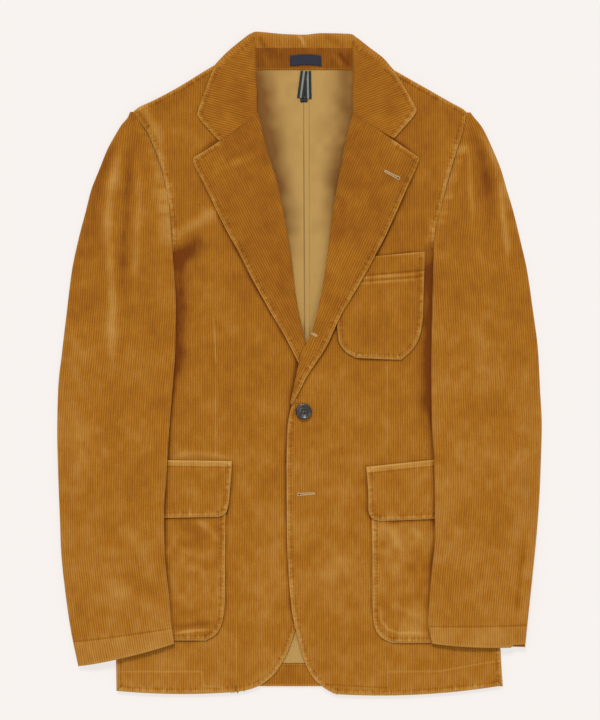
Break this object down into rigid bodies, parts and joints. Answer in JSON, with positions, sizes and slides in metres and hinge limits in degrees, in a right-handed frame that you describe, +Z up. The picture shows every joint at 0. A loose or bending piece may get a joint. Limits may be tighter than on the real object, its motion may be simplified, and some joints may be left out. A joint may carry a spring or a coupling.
{
  "type": "corduroy jacket laid flat",
  "caption": "Tan corduroy blazer laid flat on its back, front fastened, with notched lapels, patch pockets and flaps.",
  "frame": {"origin": "middle of the underside of the laid jacket, on the surface it lies on", "axes": "+X to the wearer's left side, +Y from the hem to the collar, +Z up out of the front"},
  "size_m": [0.572, 0.7823, 0.0166],
  "materials": {
    "corduroy": "cotton corduroy, ribs 2.7 mm apart, washed pale along the sewn edges",
    "lining": "plain tan cotton twill lining with a felled centre seam",
    "label": "bare navy woven label",
    "ribbon": "dark grosgrain ribbon with a pale grey stripe",
    "button": "mottled dark horn, polished, sewn through four holes"
  },
  "bodies": {
    "root": {"back_right": "corduroy", "back_left": "corduroy", "back_hem_facing": "corduroy", "lining_right": "lining", "lining_left": "lining", "collar_band": "corduroy", "neck_label": "label", "hanger_loop": "ribbon", "front_right": "corduroy", "lapel_right": "corduroy", "lower_pocket_right": "corduroy", "pocket_flap_right": "corduroy", "front_left": "corduroy", "chest_pocket": "corduroy", "lapel_left": "corduroy", "lower_pocket_left": "corduroy", "pocket_flap_left": "corduroy", "front_button": "button", "top_sleeve_right": "corduroy", "under_sleeve_right": "corduroy", "top_sleeve_left": "corduroy", "under_sleeve_left": "corduroy", "collar": "corduroy"}
  },
  "joints": []
}
